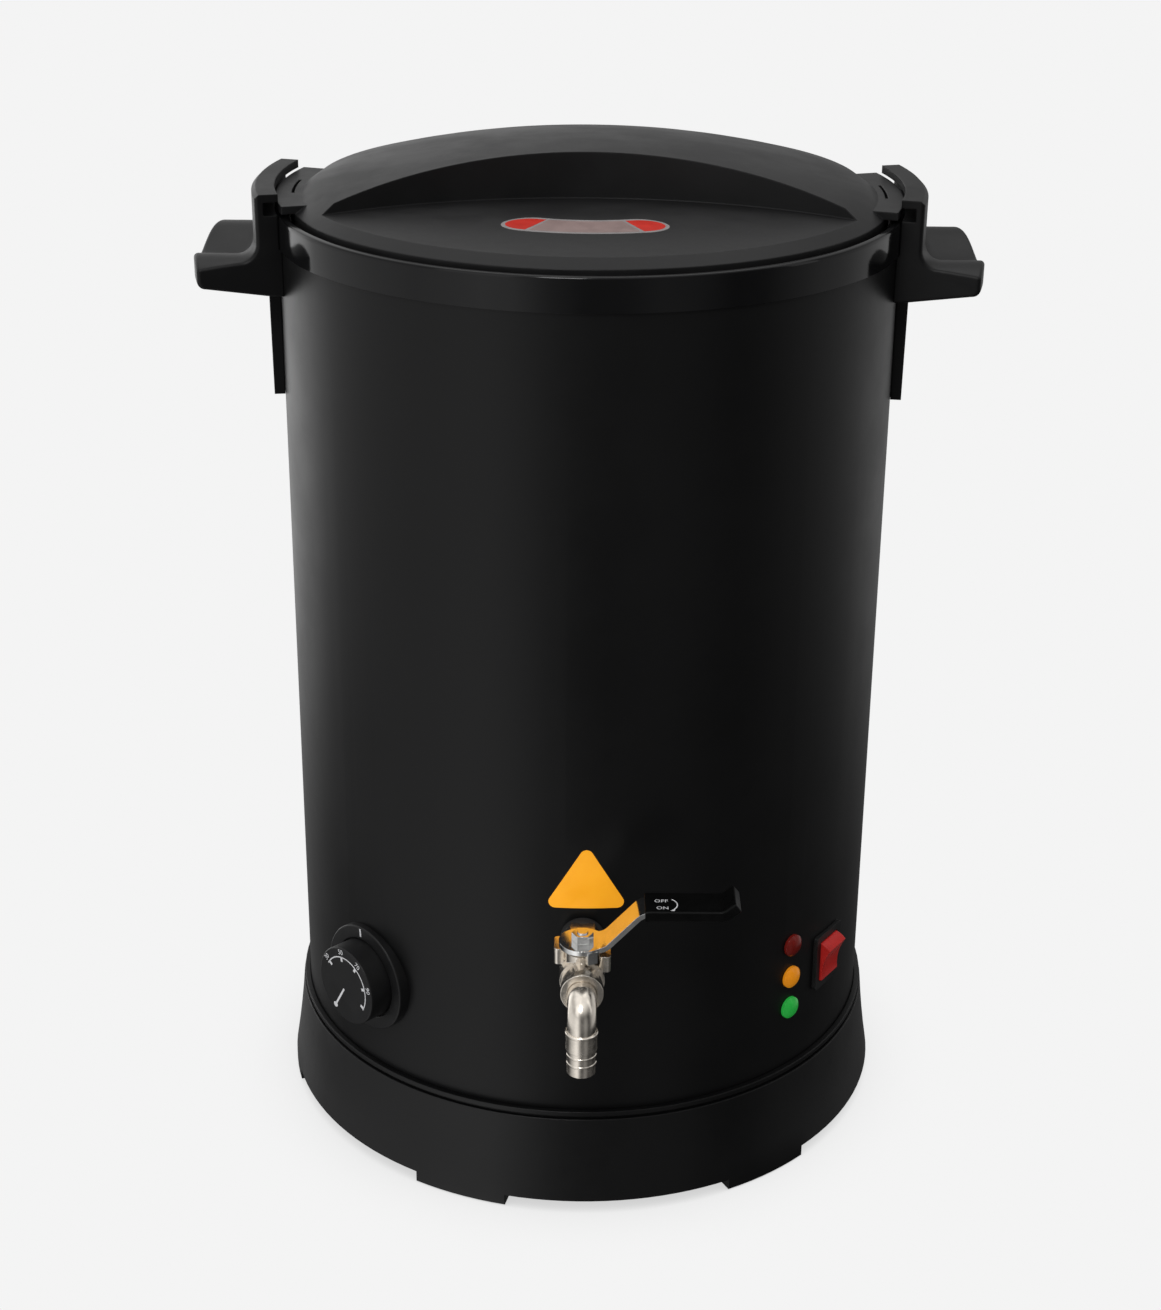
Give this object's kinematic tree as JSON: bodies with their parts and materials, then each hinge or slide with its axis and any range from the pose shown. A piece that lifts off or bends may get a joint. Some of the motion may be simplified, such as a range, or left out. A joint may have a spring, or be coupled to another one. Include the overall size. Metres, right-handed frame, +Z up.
{
  "type": "electric melting pot",
  "caption": "Tall black electric wax melting pot with a twist-lock domed lid, side handles, front drain tap with lever, thermostat knob, indicator lamps and a rocker switch.",
  "frame": {"origin": "on the pot's axis, on the surface that the foot pads stand on", "axes": "+Z up along the pot's axis, -Y to the front with the tap, +X to the right handle"},
  "size_m": [0.381, 0.3811, 0.5037],
  "materials": {
    "shell_paint": "satin black enamel",
    "rim_gloss": "polished black moulding",
    "moulded_black": "fine sparked grain",
    "control_black": "smooth semi-matt",
    "vessel_steel": "spun stainless",
    "plated_steel": "zinc plated",
    "heater_aluminium": "as cast",
    "heater_sheath": "dark oxide",
    "valve_nickel": "satin nickel plate",
    "lever_chrome": "bright chrome",
    "lever_vinyl": "dipped vinyl, half gloss",
    "pad_rubber": "matt",
    "seal_silicone": "matt",
    "valve_seat_white": "smooth",
    "lens_red": "clear red, unlit",
    "lens_amber": "clear amber",
    "lens_green": "clear green",
    "rocker_red": "clear red",
    "contact_brass": "bright",
    "inner_plastic": "cream moulding",
    "wire_sleeving": "silicone sleeved",
    "insulation_wool": "needled glass wool"
  },
  "bodies": {
    "pot": {"base_plate": "plated_steel", "base_ring": "moulded_black", "base_screws": "plated_steel", "block_screws": "plated_steel", "cutout_screws": "plated_steel", "earth_stud": "plated_steel", "foot_pads": "pad_rubber", "handle_left": "moulded_black", "handle_right": "moulded_black", "handle_screws": "plated_steel", "heater_element": "heater_sheath", "heater_plate": "heater_aluminium", "hose_elbow": "valve_nickel", "inlet_pins": "contact_brass", "inlet_screws": "plated_steel", "inner_vessel": "vessel_steel", "insulation_blanket": "insulation_wool", "internal_wires": "wire_sleeving", "knob_bezel": "control_black", "lamp_bodies": "inner_plastic", "lamp_nuts": "inner_plastic", "lens_amber": "lens_amber", "lens_green": "lens_green", "lens_red": "lens_red", "outer_shell": "shell_paint", "packing_nut": "valve_nickel", "power_inlet": "control_black", "rim_ring": "rim_gloss", "switch_housing": "control_black", "tap_locknut": "valve_nickel", "tap_nipple": "valve_nickel", "tap_seal_inner": "seal_silicone", "tap_seal_outer": "pad_rubber", "tap_spacer": "plated_steel", "terminal_block": "inner_plastic", "thermal_cutout": "inner_plastic", "thermostat_body": "inner_plastic", "thermostat_bulb": "plated_steel", "thermostat_screws": "plated_steel", "tie_nut": "plated_steel", "tie_rod": "plated_steel", "valve_body": "valve_nickel", "valve_end_cap": "valve_nickel", "valve_seats": "valve_seat_white"},
    "lid_seal": {"lid_gasket": "seal_silicone"},
    "lid": {"lid_cover": "moulded_black", "lid_liner": "vessel_steel", "lid_screws": "plated_steel"},
    "valve_lever": {"lever": "lever_chrome", "lever_sleeve": "lever_vinyl", "lever_nut": "lever_chrome", "valve_stem": "lever_chrome", "valve_ball": "lever_chrome"},
    "thermostat_dial": {"thermostat_knob": "control_black", "thermostat_shaft": "plated_steel"},
    "rocker": {"switch_rocker": "rocker_red"}
  },
  "joints": [
    {"name": "lid_lift", "type": "slide", "parent": "pot", "child": "lid_seal", "axis": [0, 0, 1], "range_m": [0, 0.35]},
    {"name": "lid_twist", "type": "hinge", "parent": "lid_seal", "child": "lid", "pos_m": [0, 0, 0.475], "axis": [0, 0, 1], "range_deg": [0, 35]},
    {"name": "valve_turn", "type": "hinge", "parent": "pot", "child": "valve_lever", "pos_m": [0, -0.183, 0.17], "axis": [0, 0, 1], "range_deg": [-90, 0]},
    {"name": "dial_turn", "type": "hinge", "parent": "pot", "child": "thermostat_dial", "pos_m": [-0.10754, -0.10458, 0.1035], "axis": [-0.7169, -0.6972, 0], "range_deg": [-60, 225]},
    {"name": "rocker_tip", "type": "hinge", "parent": "pot", "child": "rocker", "pos_m": [0.1241, -0.08246, 0.1052], "axis": [0.5534, 0.8329, 0], "range_deg": [-24, 0]}
  ]
}
